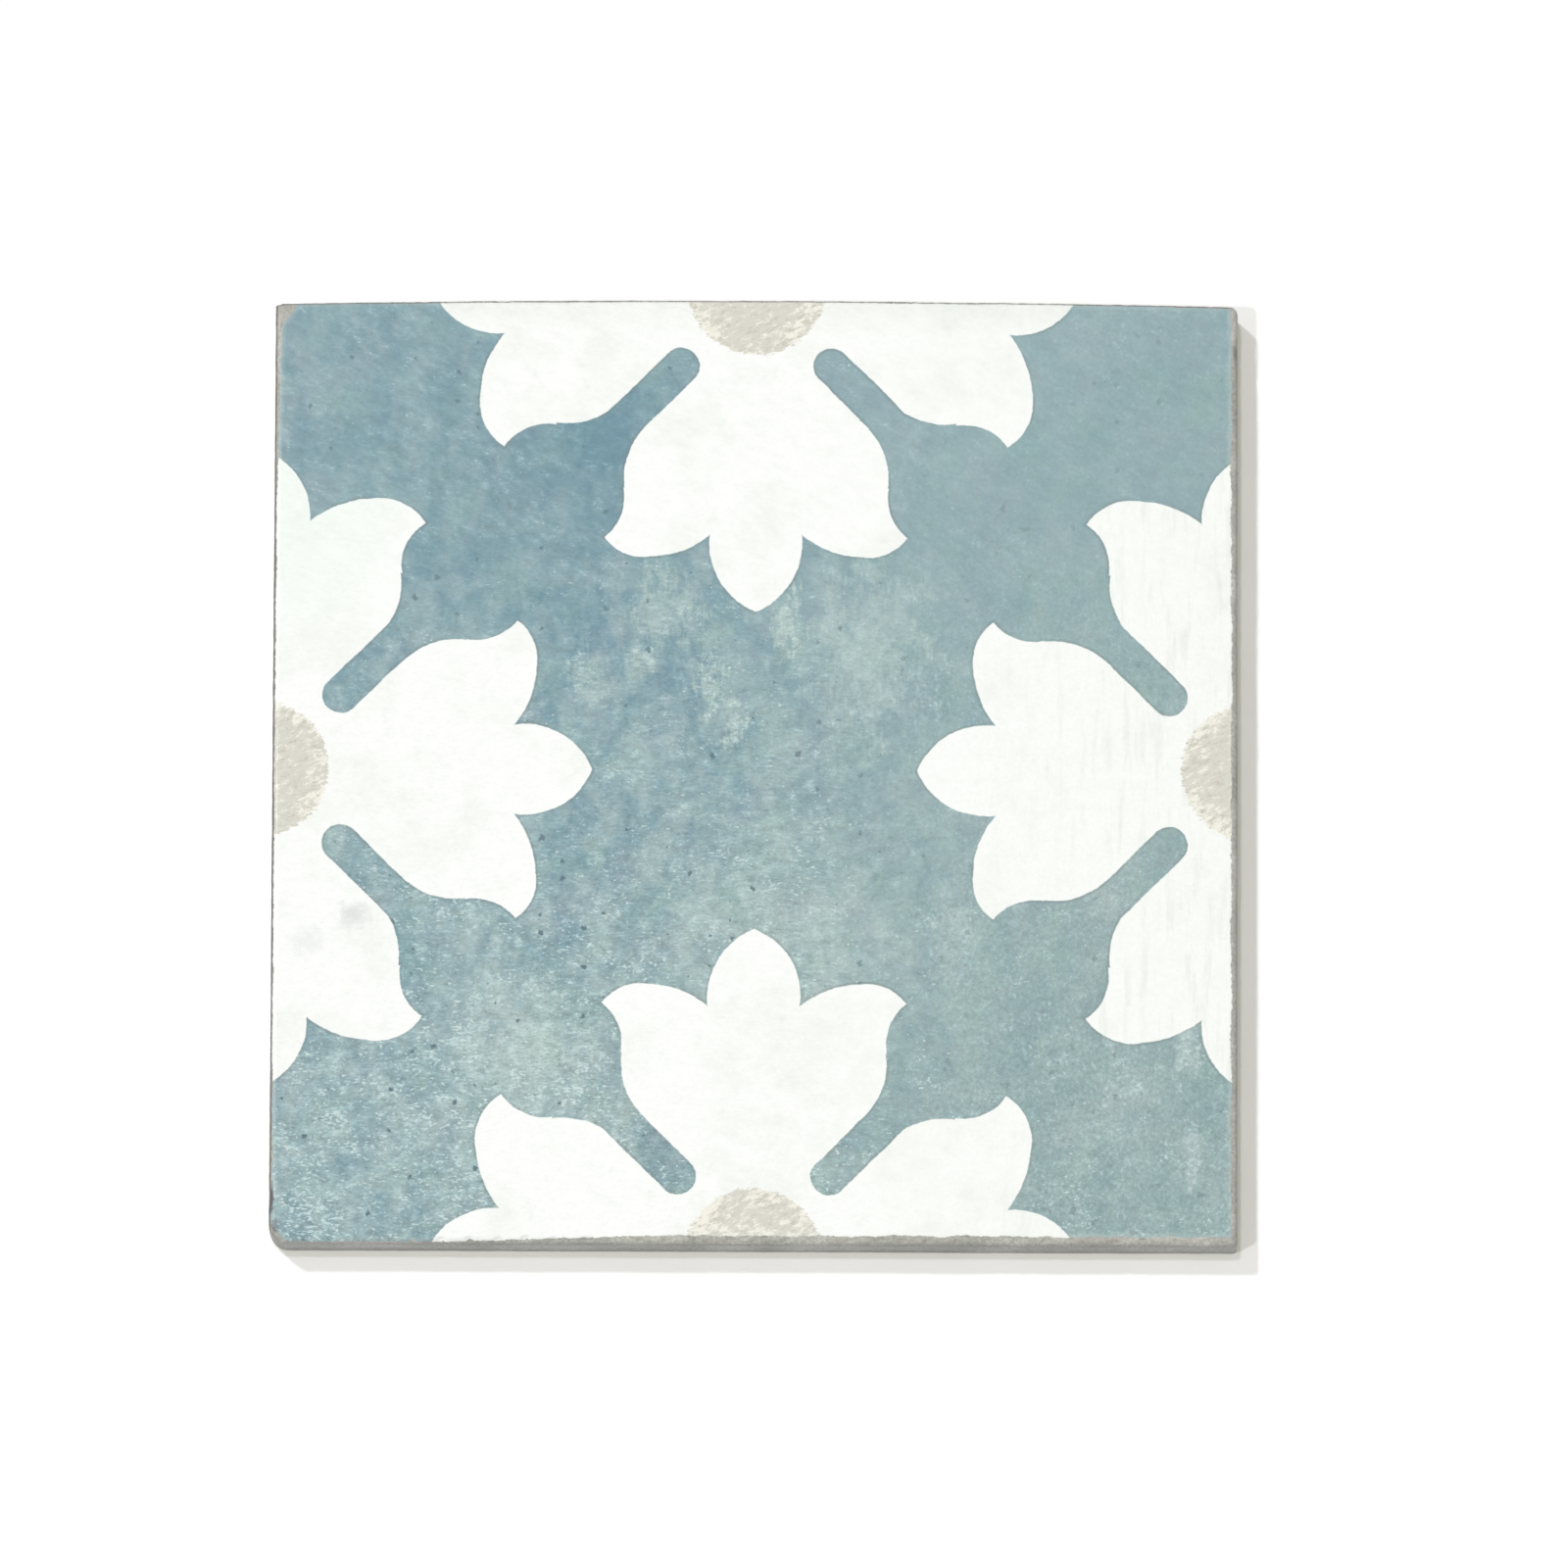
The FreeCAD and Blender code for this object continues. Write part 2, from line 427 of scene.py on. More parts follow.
def rounded_square(middle, half, radius, height):
    """List the points of a square with rounded corners, anticlockwise."""
    points = []
    for corner in range(4):
        start = math.radians(180 + 90 * corner)
        direction = Vector((math.cos(start + math.radians(45)), math.sin(start + math.radians(45))))
        centre = middle + direction * math.sqrt(2) * (half - radius)
        for step in range(RECESS_TURN_STEPS + 1):
            angle = start + math.radians(90) * step / RECESS_TURN_STEPS
            points.append(Vector((centre.x + radius * math.cos(angle),
                                  centre.y + radius * math.sin(angle), height)))
    return points


def build_recess(mesh, middle):
    """Build one pressed recess of the back; return its rim."""
    mouth = (RECESS_PITCH - RIB_WIDTH) / 2
    floor = mouth - RECESS_DEPTH * math.tan(RECESS_DRAFT)
    # half width, corner radius and height of each ring
    steps = (
        (mouth + SOFTNESS, 1.5, 0.0),
        (mouth - 0.3 * SOFTNESS, 1.3, 0.5 * SOFTNESS),
        (floor + 0.5 * SOFTNESS, 1.0, RECESS_DEPTH - 0.5 * SOFTNESS),
        (floor - SOFTNESS, 0.8, RECESS_DEPTH),
    )
    rings = [add_vertices(mesh, rounded_square(middle, *step)) for step in steps]
    for outer, inner in zip(rings, rings[1:]):
        band(mesh, outer, inner, BARE, flip=True)
    bottom = add_face(mesh, rings[-1], BARE, flip=True)
    bottom.smooth = False
    return rings[0]


def build_back(mesh, rim):
    """Close the back with the grid of recesses that keys the tile into its bed."""
    loops = [coarser_rings(mesh, rim, BACK_RINGS, 0.0, BARE, flip=True)]
    first = -RECESS_PITCH * (RECESSES_ACROSS - 1) / 2
    places = [first + RECESS_PITCH * number for number in range(RECESSES_ACROSS)]
    for along in places:
        for across in places:
            loops.append(build_recess(mesh, Vector((across, along))))
    edges = []
    for loop in loops:
        edges += [mesh.edges.get(pair) for pair in zip(loop, loop[1:] + loop[:1])]
    ribs = bmesh.ops.triangle_fill(mesh, use_beauty=True, use_dissolve=False, edges=edges)
    for face in ribs["geom"]:
        if isinstance(face, bmesh.types.BMFace):
            face.material_index = BARE
            face.smooth = False
            face.normal_update()
            if face.normal.z > 0:
                face.normal_flip()


# Where each part of the surface lies in the baking map: left, bottom, size
FACE_PATCH = (0.005, 0.005, 0.74)
BACK_PATCH = (0.755, 0.005, 0.24)
STRIP_BOTTOM, STRIP_HEIGHT, STRIP_STEP = 0.757, 0.05, 0.058


def lay_out_map(mesh):
    """Give every face its place in the baking map: face, four sides, back."""
    layer = mesh.loops.layers.uv.new("OFBake")
    for face in mesh.faces:
        face.normal_update()
        normal = face.normal
        middle = face.calc_center_median() / MM
        turned_up = normal.z > 0.05 or (normal.z > -0.05 and middle.z > THICKNESS - 0.5)
        if face.material_index == GLAZED and turned_up:
            patch = FACE_PATCH
        elif normal.z < -0.6 or middle.z < 0.01 or max(abs(middle.x), abs(middle.y)) < HALF - 4:
            patch = BACK_PATCH
        else:
            patch = None
        side = side_of(middle)
        for loop in face.loops:
            place = loop.vert.co / MM
            if patch:
                left, bottom, size = patch
                loop[layer].uv = (left + size * (place.x + HALF) / LENGTH,
                                  bottom + size * (place.y - FRONT) / WIDTH)
            else:
                along = place.x if side in (0, 2) else place.y
                loop[layer].uv = (
                    FACE_PATCH[0] + FACE_PATCH[2] * (along + HALF) / LENGTH,
                    STRIP_BOTTOM + side * STRIP_STEP + STRIP_HEIGHT * place.z / THICKNESS)


def side_of(place):
    """Say which side a place is nearest to: front, right, back or left."""
    distances = (place.y - FRONT, HALF - place.x, BACK + BACK_SWELL - place.y, place.x + HALF)
    return distances.index(min(distances))


def add_object(name, data):
    """Put a mesh, lamp or camera into the scene as an object."""
    made = bpy.data.objects.new(name, data)
    bpy.context.scene.collection.objects.link(made)
    return made


def build_tile():
    """Build the whole tile as one closed mesh."""
    mesh = bmesh.new()
    face_rim, back_rim = build_edge(mesh)
    build_face(mesh, face_rim)
    build_back(mesh, back_rim)
    lay_out_map(mesh)
    data = bpy.data.meshes.new("pressed_tile")
    mesh.to_mesh(data)
    mesh.free()
    return add_object("pressed_tile", data)


# Shader wiring

FLOAT, VECTOR, COLOUR = "NodeSocketFloat", "NodeSocketVector", "NodeSocketColor"
# the colour sockets of a Mix node, which share their names with its others
MIX_FIRST, MIX_SECOND, MIX_RESULT = 6, 7, 2


class Bench:
    """Places nodes in one node tree and wires them to the node it ends in."""

    def __init__(self, tree, ending):
        self.tree = tree
        self.ending = self.node(ending)

    def put(self, name, value):
        """Feed one input of the node that the tree ends in."""
        self.feed(self.ending.inputs[name], value)

    def node(self, kind, given=(), **settings):
        """Place a node with its settings, and feed its inputs by order or by name."""
        made = self.tree.nodes.new(kind)
        for name, value in settings.items():
            setattr(made, name, value)
        named = given if isinstance(given, dict) else dict(enumerate(given))
        for key, value in named.items():
            self.feed(made.inputs[key], value)
        return made

    def feed(self, socket, value):
        if isinstance(value, bpy.types.NodeSocket):
            self.tree.links.new(value, socket)
        else:
            socket.default_value = value

    def group(self, group, **values):
        """Place a node group and feed its inputs; return its outputs."""
        return self.node("ShaderNodeGroup", values, node_tree=group).outputs

    def math(self, operation, *values):
        return self.node("ShaderNodeMath", values, operation=operation).outputs["Value"]

    def vector(self, operation, *values):
        made = self.node("ShaderNodeVectorMath", values, operation=operation)
        return made.outputs["Value" if operation in ("LENGTH", "DISTANCE") else "Vector"]

    def chain(self, operation, values):
        result = values[0]
        for value in values[1:]:
            result = self.math(operation, result, value)
        return result

    def add(self, *values):
        return self.chain("ADD", values)

    def times(self, *values):
        return self.chain("MULTIPLY", values)

    def least(self, *values):
        return self.chain("MINIMUM", values)

    def most(self, *values):
        return self.chain("MAXIMUM", values)

    def minus(self, value, taken):
        return self.math("SUBTRACT", value, taken)

    def apart(self, value, other):
        return self.math("ABSOLUTE", self.minus(value, other))

    def times_plus(self, value, factor, base):
        return self.math("MULTIPLY_ADD", value, factor, base)

    def point(self, across, along):
        return self.node("ShaderNodeCombineXYZ", (across, along)).outputs["Vector"]

    def parts(self, vector):
        return self.node("ShaderNodeSeparateXYZ", (vector,)).outputs

    def away_from(self, point, place):
        """Distance of a point from a fixed place."""
        return self.vector("DISTANCE", point, (*place, 0.0))

    def oval(self, point, middle, half_widths):
        """Distance of a point from a middle, which is 1 at the half widths."""
        offset = self.moved(point, -middle[0], -middle[1])
        shares = (1 / half_widths[0], 1 / half_widths[1], 0.0)
        return self.vector("LENGTH", self.vector("MULTIPLY", offset, shares))

    def step(self, value, low, high, top=1.0):
        """Go smoothly from 0 at low to top at high."""
        given = {"Value": value, "From Min": low, "From Max": high, "To Max": top}
        made = self.node("ShaderNodeMapRange", given, interpolation_type="SMOOTHSTEP")
        return made.outputs["Result"]

    def slope(self, value, low, high, start=0.0, end=1.0):
        """Go in a straight line from start at low to end at high, and no further."""
        given = {"Value": value, "From Min": low, "From Max": high, "To Min": start, "To Max": end}
        made = self.node("ShaderNodeMapRange", given, interpolation_type="LINEAR", clamp=True)
        return made.outputs["Result"]

    def clouds(self, position, size, detail=3.0, roughness=0.55, distortion=0.0):
        """Cloudy noise from 0 to 1 whose patches are about one size across, in mm."""
        given = {"Vector": position, "Scale": 1.0 / size, "Detail": detail,
                 "Roughness": roughness, "Distortion": distortion}
        return self.node("ShaderNodeTexNoise", given).outputs["Fac"]

    def swirls(self, position, size, *looks):
        """Cloudy noise like clouds, from -0.5 to 0.5."""
        return self.minus(self.clouds(position, size, *looks), 0.5)

    def stretched(self, position, across, along, up=1.0):
        """Scale a position so that noise on it is drawn out."""
        return self.vector("MULTIPLY", position, (1.0 / across, 1.0 / along, 1.0 / up))

    def moved(self, position, across, along):
        """Shift a position so that noise on it is another one."""
        return self.vector("ADD", position, (across, along, 0.0))

    def leaning(self, position, degrees):
        """Turn a position so that noise drawn out on it slants down to the right."""
        given = {"Vector": position, "Angle": math.radians(degrees)}
        made = self.node("ShaderNodeVectorRotate", given, rotation_type="Z_AXIS")
        return made.outputs["Vector"]

    def between(self, share, first, second):
        """Mix two values by a share from 0 to 1."""
        return self.times_plus(self.minus(second, first), share, first)

    def shaded(self, tint, factor):
        """Make a colour lighter or darker by a factor."""
        given = {"Vector": tint, "Scale": factor}
        return self.node("ShaderNodeVectorMath", given, operation="SCALE").outputs["Vector"]

    def blend(self, share, first, second, strength=None):
        """Mix two colours by a share from 0 to 1, times a strength if one is given."""
        if strength is not None:
            share = self.times(share, strength)
        given = {"Factor": share, MIX_FIRST: first, MIX_SECOND: second}
        made = self.node("ShaderNodeMix", given, data_type="RGBA", clamp_factor=True)
        return made.outputs[MIX_RESULT]


def new_group(name, outputs, **inputs):
    """Make an empty shader node group that takes a position and some numbers."""
    group = bpy.data.node_groups.new(name, "ShaderNodeTree")
    group.interface.new_socket(name="Position", in_out="INPUT", socket_type=VECTOR)
    for label, value in inputs.items():
        socket = group.interface.new_socket(name=label, in_out="INPUT", socket_type=FLOAT)
        socket.default_value = value
    for label, kind in outputs.items():
        group.interface.new_socket(name=label, in_out="OUTPUT", socket_type=kind)
    bench = Bench(group, "NodeGroupOutput")
    return group, bench, bench.node("NodeGroupInput").outputs


def make_hand_drift():
    """Group: shift a position a little, as ink runs on the glaze."""
    group, bench, given = new_group("hand drift", {"Position": VECTOR}, Reach=0.2, Wave=2.0)
    scale = bench.math("DIVIDE", 1.0, given["Wave"])
    made = bench.node(
        "ShaderNodeTexNoise", {"Vector": given["Position"], "Scale": scale, "Detail": 2.0})
    swing = bench.vector("SUBTRACT", made.outputs["Color"], (0.5, 0.5, 0.5))
    reach = bench.times(given["Reach"], 4.0)
    shift = bench.vector("MULTIPLY", swing, bench.point(reach, reach))
    bench.put("Position", bench.vector("ADD", given["Position"], shift))
    return group


def make_flower_print():
    """Group: masks of the white petals, the dark line round them and the grey discs."""
    group, bench, given = new_group(
        "flower print", {"Petals": FLOAT, "Rim": FLOAT, "Discs": FLOAT, "Disc Rim": FLOAT})
    place = bench.parts(given["Position"])
    x, y = bench.math("ABSOLUTE", place["X"]), bench.math("ABSOLUTE", place["Y"])
    inward = bench.minus(FLOWER_CENTRE, bench.most(x, y))
    sideways = bench.least(x, y)
    # along the side of the tile the petals are drawn a bit larger
    lengthwise = bench.most(inward, sideways)
    crosswise = bench.least(inward, sideways)
    on_side = bench.step(bench.minus(sideways, inward), -0.5, 0.5)
    petal = bench.point(lengthwise, crosswise)

    def inside(middle, radius, side_growth):
        size = bench.times_plus(on_side, side_growth, radius)
        return bench.minus(size, bench.away_from(petal, middle))

    shoulder = bench.least(inside(*SHOULDER_ARC), bench.minus(SHOULDER_WIDTH, crosswise))
    outer = bench.most(
        bench.minus(PETAL_FOOT, lengthwise), shoulder, inside(*HOOK_ARC), inside(*TIP_ARC))
    # a slot with a round end parts each petal from the next
    diagonal = bench.times(bench.add(lengthwise, crosswise), math.sqrt(0.5))
    aside = bench.times(bench.minus(lengthwise, crosswise), math.sqrt(0.5))
    before = bench.most(bench.minus(SLOT_START, diagonal), 0.0)
    slot = bench.minus(bench.vector("LENGTH", bench.point(before, aside)), SLOT_HALF_WIDTH)
    waist = bench.most(
        inside(*WAIST_ARC), bench.minus(lengthwise, WAIST_END),
        bench.minus(WAIST_START, lengthwise), bench.minus(WAIST_WIDTH, crosswise))
    hollow = bench.times(inside(*HOLLOW_ARC), -1.0)
    edge = bench.least(outer, slot, waist, hollow)
    bench.put("Petals", bench.step(edge, -PRINT_BLUR, PRINT_BLUR))
    bench.put("Rim", bench.step(bench.apart(edge, RIM_OFFSET), RIM_END, RIM_FULL))
    # the discs are printed over the white and have a frayed edge
    level = bench.stretched(given["Position"], 1.7, 0.6)
    fray = bench.times(bench.swirls(level, 0.75, 2.0, 0.6), 2.4)
    disc = bench.minus(bench.add(DISC_RADIUS, fray), bench.vector("LENGTH", bench.point(
        bench.add(inward, FLOWER_CENTRE - HALF), sideways)))
    bench.put("Discs", bench.step(disc, -PRINT_BLUR, PRINT_BLUR))
    bench.put("Disc Rim", bench.slope(disc, 5.5, 0.0))
    return group


# Slow changes of the blue: middle in mm, how far they reach, where they are full, and change
WASH_POOLS = (
    # deep blue in the far left quarter, deepest in the slot of the far flower
    ((-52, 60), 85, 36, -0.31),
    ((-31, 72), 24, 8, -0.58),
    ((66, 74), 60, 20, -0.08),
    # deep and pale patches round the middle
    ((-41, 30), 18, 5, -0.48),
    ((-12, 20), 14, 4, -0.42),
    ((7, 21), 12, 3, -0.62),
    ((43, 7), 13, 4, 0.38),
    ((9, -16), 18, 6, 0.36),
    # the slots of the side flowers that point to the front
    ((-75, -25), 16, 4, -0.30),
    ((72, -24), 16, 4, 0.58),
    # pale clouds round the tips of the near petals, with deep patches between them
    ((22, -32), 20, 6, 0.34),
    ((0, -42), 30, 8, 0.56),
    ((43, -43), 12, 4, -0.50),
    ((-41, -41), 16, 4, -0.52),
    ((-57, -43), 12, 4, 0.78),
    ((-46, -64), 34, 10, 0.40),
    # the slots of the near flower and the front left corner
    ((-25, -71), 12, 4, 0.72),
    ((27, -71), 13, 4, 0.26),
    ((-91, -87), 14, 4, 0.24),
)
# the tone at which the blue is as deep as it gets
DEEPEST_TONE = -0.4
# milky patches in the blue: middle and half widths in mm, and how strong they are
MILK_POOLS = (
    ((-18, 34), (7, 8), 0.52),
    ((6.5, 31), (2.8, 5.6), 0.85),
    ((-9, 18.5), (3, 5.4), 0.80),
    ((-4.2, 10), (2.4, 4.6), 0.75),
    ((-23, 23), (2.6, 3.6), 0.60),
    ((24, 24), (11, 18), 0.40),
    ((-34, 19), (5, 5), 0.40),
    ((-47, -58), (14, 10), 0.40),
    ((89, -58), (2.2, 9), 0.60),
    ((90.5, -81), (1.5, 7.5), 0.55),
    ((76, -68), (5, 14), 0.32),
    ((42, -36), (4, 12), 0.30),
)


def make_blue_wash():
    """Group: the blue of the print, clouded like a water-colour wash."""
    group, bench, given = new_group("blue wash", {"Color": COLOUR, "Milk": FLOAT})
    position = given["Position"]
    tone = 0.42
    for place, end, full, change in WASH_POOLS:
        pool = bench.step(bench.away_from(position, place), end, full)
        tone = bench.times_plus(pool, change, tone)
    x, y = bench.parts(position)[:2]
    # the wash is calmer on the right and in the far part
    calm = bench.times(
        bench.slope(x, -10.0, 50.0, 1.0, 0.42), bench.slope(y, 20.0, 60.0, 1.0, 0.58))
    slow = bench.swirls(position, 30.0, 4.0, 0.6, 0.8)
    upright = bench.stretched(bench.moved(position, 80, 13), 0.8, 1.25)
    patches = bench.step(bench.clouds(upright, 9.0, 4.0, 0.6, 0.6), 0.36, 0.64)
    blots = bench.swirls(bench.moved(position, 21, 44), 3.4, 3.0, 0.6)
    tone = bench.add(
        tone, bench.times(slow, bench.slope(y, 20.0, 60.0, 0.9, 0.6)),
        bench.times(bench.minus(patches, 0.5), bench.times(calm, 0.60)),
        bench.times(blots, calm))
    base = bench.blend(bench.slope(tone, DEEPEST_TONE, 1.0), DEEP_BLUE, PALE_BLUE)
    # the ink turns greyer in some places and greener in others
    cast = bench.clouds(bench.moved(position, -31, 57), 11.0, 3.0, 0.55)
    greyer = bench.blend(bench.step(cast, 0.50, 0.62, 0.8), NO_CAST, GREY_CAST)
    cast_tint = bench.blend(bench.step(cast, 0.48, 0.36), greyer, SEA_CAST)
    tinted = bench.vector("MULTIPLY", base, cast_tint)
    # and warmer towards the front right corner
    warmth = bench.slope(bench.add(bench.times(x, 0.8), bench.times(y, -0.6)), -20.0, 95.0)
    warmer = bench.vector("MULTIPLY", tinted, bench.blend(warmth, NO_CAST, RIGHT_CAST))
    bench.put("Color", warmer)
    # milky patches with torn outlines
    torn = bench.times(bench.swirls(bench.moved(upright, 7, -23), 4.2, 4.0, 0.78), 5.0)
    combed = bench.swirls(bench.stretched(position, 0.7, 3.2), 1.0, 3.0, 0.7)
    streaked = bench.times_plus(combed, 2.2, torn)
    share = 0.0
    for middle, half_widths, most in MILK_POOLS:
        level = bench.add(bench.oval(position, middle, half_widths), streaked)
        share = bench.most(share, bench.step(level, 1.35, 0.40, most))
    stray = bench.step(torn, 0.5, 1.7, 0.30)
    bench.put("Milk", bench.most(share, stray))
    return group


# how large the cells are that hold one speck each
SPECK_CELL = 4.4


def make_screen_grain(drift):
    """Group: mottle and dark specks of the print and light flecks of painted glint, coarsest at the
    front left.
    """
    group, bench, given = new_group("screen grain", {
        "Mottle": FLOAT, "Strength": FLOAT, "Glint Cluster": FLOAT, "Glint Flecks": FLOAT, "Specks": FLOAT})
    position = given["Position"]
    x, y = bench.parts(position)[:2]
    nearness = bench.times_plus(x, -0.18, bench.times(y, -1.0))
    uneven = bench.swirls(bench.moved(position, 17, -64), 15.0, 3.0, 0.6)
    strength = bench.times_plus(uneven, 1.2, bench.slope(nearness, -75.0, 85.0, 0.26, 1.15))
    right = bench.step(bench.times_plus(uneven, 50.0, x), 5.0, 50.0)
    strength = bench.times(bench.most(strength, 0.22), bench.times_plus(right, -0.12, 1.0))
    bench.put("Strength", strength)
    # soft strokes, level in the near part of the tile and slanting in the far part
    level = bench.clouds(bench.stretched(position, 1.35, 0.85), 2.6, 3.0, 0.75)
    slanting = bench.clouds(bench.stretched(bench.leaning(position, 26), 1.6, 0.8), 2.6, 3.0, 0.75)
    far = bench.step(bench.times_plus(uneven, 60.0, y), 15.0, 55.0)
    strokes = bench.minus(bench.between(far, level, slanting), 0.5)
    # grit: short level dashes on the left, round grains on the right
    dashes = bench.clouds(bench.stretched(position, 1.5, 0.62), 1.0, 2.0, 0.9)
    grains = bench.clouds(position, 0.85, 2.0, 0.85)
    grit = bench.minus(bench.between(right, dashes, grains), 0.5)
    bench.put("Mottle", bench.add(
        bench.times(strokes, bench.add(bench.times(right, -0.28), bench.times(far, 0.10), 0.54)),
        bench.times(grit, bench.between(far, 0.56, 0.38))))
    # painted glints gather in clusters
    cluster = bench.swirls(bench.moved(position, 9, 71), 4.2, 3.0, 0.65)
    bench.put("Glint Cluster", bench.slope(cluster, -0.06, 0.16, 0.35, 2.2))
    dots = bench.clouds(bench.stretched(bench.moved(position, 3, 5), 1.35, 0.8), 0.70, 1.0, 0.5)
    raised = bench.add(
        dots, bench.times(cluster, 0.50), bench.times_plus(strength, 0.20, -0.22),
        bench.times(right, -0.05))
    bench.put("Glint Flecks", bench.step(raised, 0.60, 0.74))
    # a few dark specks with ragged outlines, each in its own cell
    ragged = bench.group(drift, Position=position, Reach=0.40, Wave=0.8)["Position"]
    cells = bench.node(
        "ShaderNodeTexVoronoi", {"Vector": ragged, "Scale": 1.0 / SPECK_CELL},
        feature="F1", voronoi_dimensions="2D")
    picked = bench.parts(cells.outputs["Color"])[0]
    size = bench.slope(picked, 0.85, 1.0, 0.03, 0.16)
    speck = bench.step(bench.minus(size, cells.outputs["Distance"]), -0.03, 0.05)
    clear = bench.times(
        bench.slope(strength, 0.2, 1.0, 0.55, 1.0), bench.slope(x, 0.0, 45.0, 1.0, 0.45))
    bench.put("Specks", bench.times(speck, clear))
    return group


# how far in the glaze ends along the right and the far side
RIGHT_MARGIN, FAR_MARGIN = 1.45, 0.45
# corners across which the glaze is knocked off, and how far in along the two sides
KNOCKED_CORNERS = (
    ((-HALF, BACK), (5.2, 7.2)),
    ((-HALF, FRONT), (3.6, 5.2)),
    ((HALF, BACK), (2.6, 2.6)),
    ((HALF, FRONT), (2.4, 2.4)),
)


def make_bare_edge():
    """Group: where the glaze has ended or is knocked off along the sides, with a painted shadow
    under its lip, painted shade along the outer edges, and soot and wear.
    """
    group, bench, given = new_group("bare edge", {
        "Bare": FLOAT, "Thin": FLOAT, "Lip Shadow": FLOAT, "Line": FLOAT, "Soot": FLOAT})
    position = given["Position"]
    x, y, z = bench.parts(position)
    bow = bench.times(x, x, -BACK_SWELL / HALF ** 2)
    left = bench.add(x, HALF)
    right = bench.minus(HALF, x)
    front = bench.minus(y, FRONT)
    back = bench.minus(bench.add(bow, BACK + BACK_SWELL), y)
    slow = bench.swirls(position, 6.0, 3.0, 0.65)
    quick = bench.swirls(position, 1.2, 3.0, 0.65)
    # bare margins: narrow near the front left corner, wider along the rest of the front
    left_margin = bench.slope(y, 55.0, 92.0, 0.65, 1.5)
    front_margin = bench.slope(bench.times_plus(slow, 40.0, x), -68.0, -18.0, 0.30, 1.90)
    glazed = bench.least(
        bench.minus(left, left_margin), bench.minus(right, RIGHT_MARGIN),
        bench.minus(front, front_margin), bench.minus(back, FAR_MARGIN))
    for corner, cut in KNOCKED_CORNERS:
        across = bench.times(bench.apart(x, corner[0]), 1 / cut[0])
        along = bench.times(bench.apart(y, corner[1]), 1 / cut[1])
        reach = bench.times(bench.minus(bench.add(across, along), 1.0), 0.7 * min(cut))
        glazed = bench.least(glazed, reach)
    # a nick deeper than the glaze is bare too
    glazed = bench.least(glazed, bench.times(bench.minus(z, THICKNESS - 0.5), 3.0))
    fray = bench.add(bench.times(slow, 1.5), bench.times(quick, 0.8))
    level = bench.add(fray, glazed)
    bench.put("Bare", bench.step(level, 0.08, -0.08))
    bench.put("Thin", bench.step(level, 1.2, 0.0))
    # a shadow is painted in a narrow band just outside where the glaze ends
    lip_shadow = bench.step(bench.apart(level, -0.24), 0.26, 0.06)
    patchy = bench.clouds(bench.moved(position, 3, 8), 2.6, 2.0, 0.6)
    bench.put("Lip Shadow", bench.times(lip_shadow, bench.step(patchy, 0.48, 0.66)))
    # painted shade: a dark line along the left and far edges
    outer = bench.least(left, back)
    bench.put("Line", bench.step(bench.times_plus(quick, 0.5, outer), 0.80, 0.36))
    # soot on the left side close to its front end
    smoked = bench.times_plus(quick, 1.6, bench.oval(position, (-HALF, -90.8), (1.11, 3.33)))
    # and wear beside it where the corner starts to turn
    wear_and_sheen = bench.times_plus(quick, 2.2, bench.oval(position, (-98.5, -96.4), (0.91, 1.82)))
    bench.put("Soot", bench.most(
        bench.step(smoked, 1.25, 0.7), bench.step(wear_and_sheen, 1.0, 0.5, 0.6)))
    return group


def make_fired_body():
    """Group: the bare pressed body and its grain, painted lighter by a factor as painted light,
    with painted shade on its foot and dark lines along its edges.
    """
    group, bench, given = new_group(
        "fired body", {"Color": COLOUR, "Roughness": FLOAT, "Height": FLOAT}, Tone=1.0, Dust=0.3)
    position = given["Position"]
    z = bench.parts(position)["Z"]
    slow = bench.clouds(position, 14.0, 4.0, 0.6, 0.3)
    drawn = bench.clouds(bench.stretched(position, 9.0, 9.0, 0.6), 1.0, 3.0, 0.6)
    grain = bench.clouds(position, 0.7, 4.0, 0.8)
    base = bench.blend(bench.step(slow, 0.3, 0.7), BODY_GREY, BODY_PALE)
    lined = bench.blend(bench.step(drawn, 0.5, 0.75, 0.30), base, BODY_DARK)
    rust = bench.clouds(bench.moved(position, 40, 4), 3.2, 3.0, 0.65)
    rusty = bench.blend(bench.step(rust, 0.56, 0.72, 0.35), lined, BODY_RUST)
    swing = bench.times_plus(bench.minus(grain, 0.5), 1.5, 1.0)
    speckled = bench.shaded(rusty, bench.times(swing, given["Tone"]))
    # below the press line the foot is darker, painted shade where it slopes in under the side, and
    # a dark line is painted in the press line
    foot_shade = bench.step(z, FOOT_HEIGHT + 0.1, FOOT_HEIGHT - 0.3, 0.22)
    foot_shaded = bench.blend(foot_shade, speckled, BODY_DARK)
    line = bench.step(bench.apart(z, FOOT_HEIGHT), 0.30, 0.05, 0.50)
    press_lined = bench.blend(line, foot_shaded, DARK_LINE_AND_SHADOW)
    # a dark line is painted along the side just under the arris
    under = bench.step(bench.apart(z, THICKNESS - ARRIS_RADIUS - 0.2), 0.4, 0.1, 0.30)
    edged = bench.blend(under, press_lined, DARK_LINE_AND_SHADOW)
    # wash from the kiln shelf on the ribs of the back
    below = bench.step(z, 0.10, 0.01)
    wash = bench.clouds(bench.moved(position, 5, 9), 6.0, 5.0, 0.7)
    washed = bench.times(bench.step(wash, 0.38, 0.58), below, given["Dust"])
    bench.put("Color", bench.blend(washed, edged, KILN_WASH))
    bench.put("Roughness", bench.slope(slow, 0.2, 0.8, 0.78, 0.94))
    pits = bench.clouds(position, 1.1, 3.0, 0.6)
    bench.put("Height", bench.add(bench.times(grain, 0.5), bench.times(pits, 0.7)))
    return group


